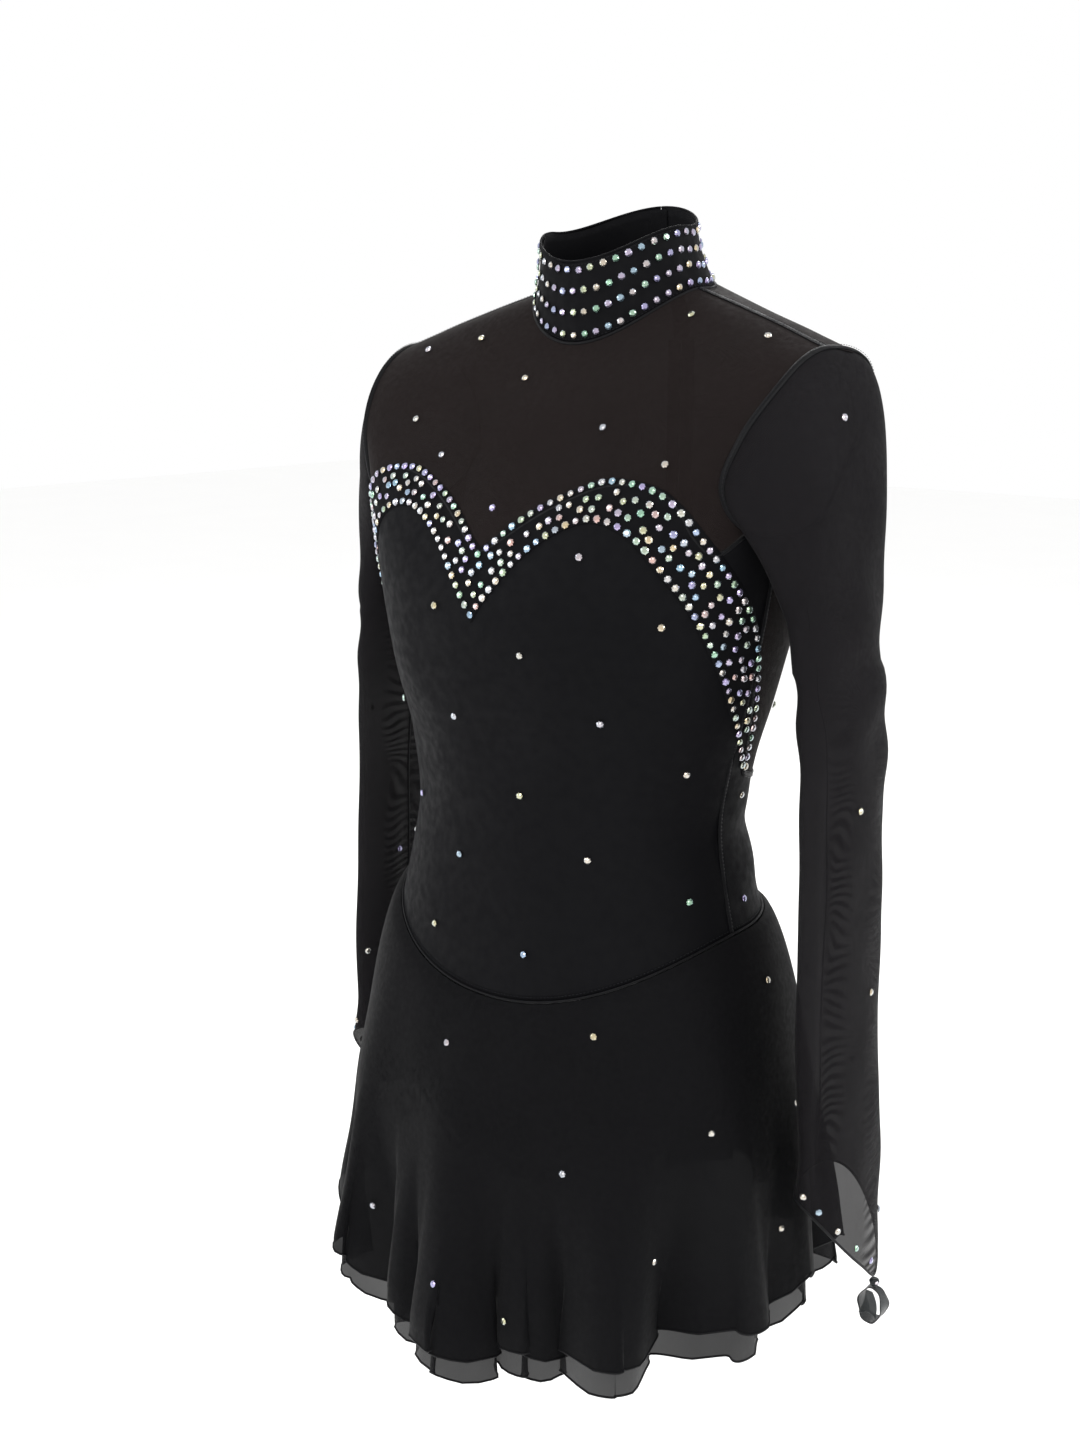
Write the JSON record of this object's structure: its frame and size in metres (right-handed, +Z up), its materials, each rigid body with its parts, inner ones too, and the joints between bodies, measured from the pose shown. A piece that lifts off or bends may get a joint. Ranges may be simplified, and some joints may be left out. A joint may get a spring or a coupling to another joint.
{
  "type": "cheer uniform",
  "caption": "Long-sleeved high-necked black competition dress with a sheer yoke, crystal-edged sweetheart bodice, layered chiffon skirt and attached briefs.",
  "frame": {"origin": "centre of the neck opening, level with the tops of the shoulders, where a wearer, a form or a hanger holds the dress up", "axes": "+Z up, +X to the wearer's left, -Y to the front"},
  "size_m": [0.469, 0.3356, 0.7842],
  "materials": {
    "stretch_fabric": "satin stretch knit",
    "sheer_mesh": "sheer stretch mesh",
    "chiffon": "sheer woven chiffon",
    "seam_trim": "rolled and bound edges",
    "crystal": "faceted with an iridescent coating",
    "dark_metal": "black enamel",
    "zip_nylon": "woven tape and moulded coil",
    "organza": "crisp sheer ribbon"
  },
  "bodies": {
    "dress": {"front_yoke": "sheer_mesh", "left_back_yoke": "sheer_mesh", "right_back_yoke": "sheer_mesh", "left_sleeve_head": "sheer_mesh", "right_sleeve_head": "sheer_mesh", "collar_lining": "sheer_mesh", "front_bodice": "stretch_fabric", "left_back_bodice": "stretch_fabric", "right_back_bodice": "stretch_fabric", "collar_band": "stretch_fabric", "sweetheart_band": "stretch_fabric", "briefs_front": "stretch_fabric", "briefs_back": "stretch_fabric", "briefs_gusset": "stretch_fabric", "skirt_outer": "chiffon", "skirt_inner": "chiffon", "waist_piping": "seam_trim", "skirt_outer_hem": "seam_trim", "skirt_inner_hem": "seam_trim", "left_shoulder_tape": "seam_trim", "left_side_seam": "seam_trim", "left_armhole_binding": "seam_trim", "left_leg_elastic": "seam_trim", "left_zip_tape": "zip_nylon", "right_shoulder_tape": "seam_trim", "right_side_seam": "seam_trim", "right_armhole_binding": "seam_trim", "right_leg_elastic": "seam_trim", "right_zip_tape": "zip_nylon", "collar_stone_row_1": "crystal", "collar_stone_row_2": "crystal", "collar_stone_row_3": "crystal", "collar_stone_row_4": "crystal", "sweetheart_stones": "crystal", "zip_chain": "zip_nylon", "zip_top_stop": "dark_metal", "zip_bottom_stop": "dark_metal", "collar_hook": "dark_metal", "collar_eye": "dark_metal"},
    "zip_slider": {"zip_slider": "dark_metal"},
    "pull_tab": {"zip_pull_tab": "dark_metal"},
    "left_sleeve_tube": {"left_sleeve": "sheer_mesh", "left_cuff_edge": "seam_trim", "left_cuff_knot": "organza"},
    "left_loop": {"left_finger_loop": "organza", "left_loop_tail": "organza"},
    "right_sleeve_tube": {"right_sleeve": "sheer_mesh", "right_cuff_edge": "seam_trim", "right_cuff_knot": "organza"},
    "right_loop": {"right_finger_loop": "organza", "right_loop_tail": "organza"}
  },
  "joints": [
    {"name": "zip_slide", "type": "slide", "parent": "dress", "child": "zip_slider", "axis": [0, 0, -1], "range_m": [0, 0.15]},
    {"name": "pull_tab_swing", "type": "hinge", "parent": "zip_slider", "child": "pull_tab", "pos_m": [0, 0.07985, -0.0435], "axis": [1, 0, 0], "range_deg": [0, 165]},
    {"name": "left_sleeve_lift", "type": "hinge", "parent": "dress", "child": "left_sleeve_tube", "pos_m": [0.178, -0.022, -0.11], "axis": [0, -1, 0], "range_deg": [0, 90]},
    {"name": "left_loop_swing", "type": "hinge", "parent": "left_sleeve_tube", "child": "left_loop", "pos_m": [0.2255, 0.0051, -0.6628], "axis": [0, 1, 0], "range_deg": [-90, 90]},
    {"name": "right_sleeve_lift", "type": "hinge", "parent": "dress", "child": "right_sleeve_tube", "pos_m": [-0.178, -0.022, -0.11], "axis": [0, 1, 0], "range_deg": [0, 90]},
    {"name": "right_loop_swing", "type": "hinge", "parent": "right_sleeve_tube", "child": "right_loop", "pos_m": [-0.2255, 0.0051, -0.6628], "axis": [0, 1, 0], "range_deg": [-90, 90]}
  ]
}
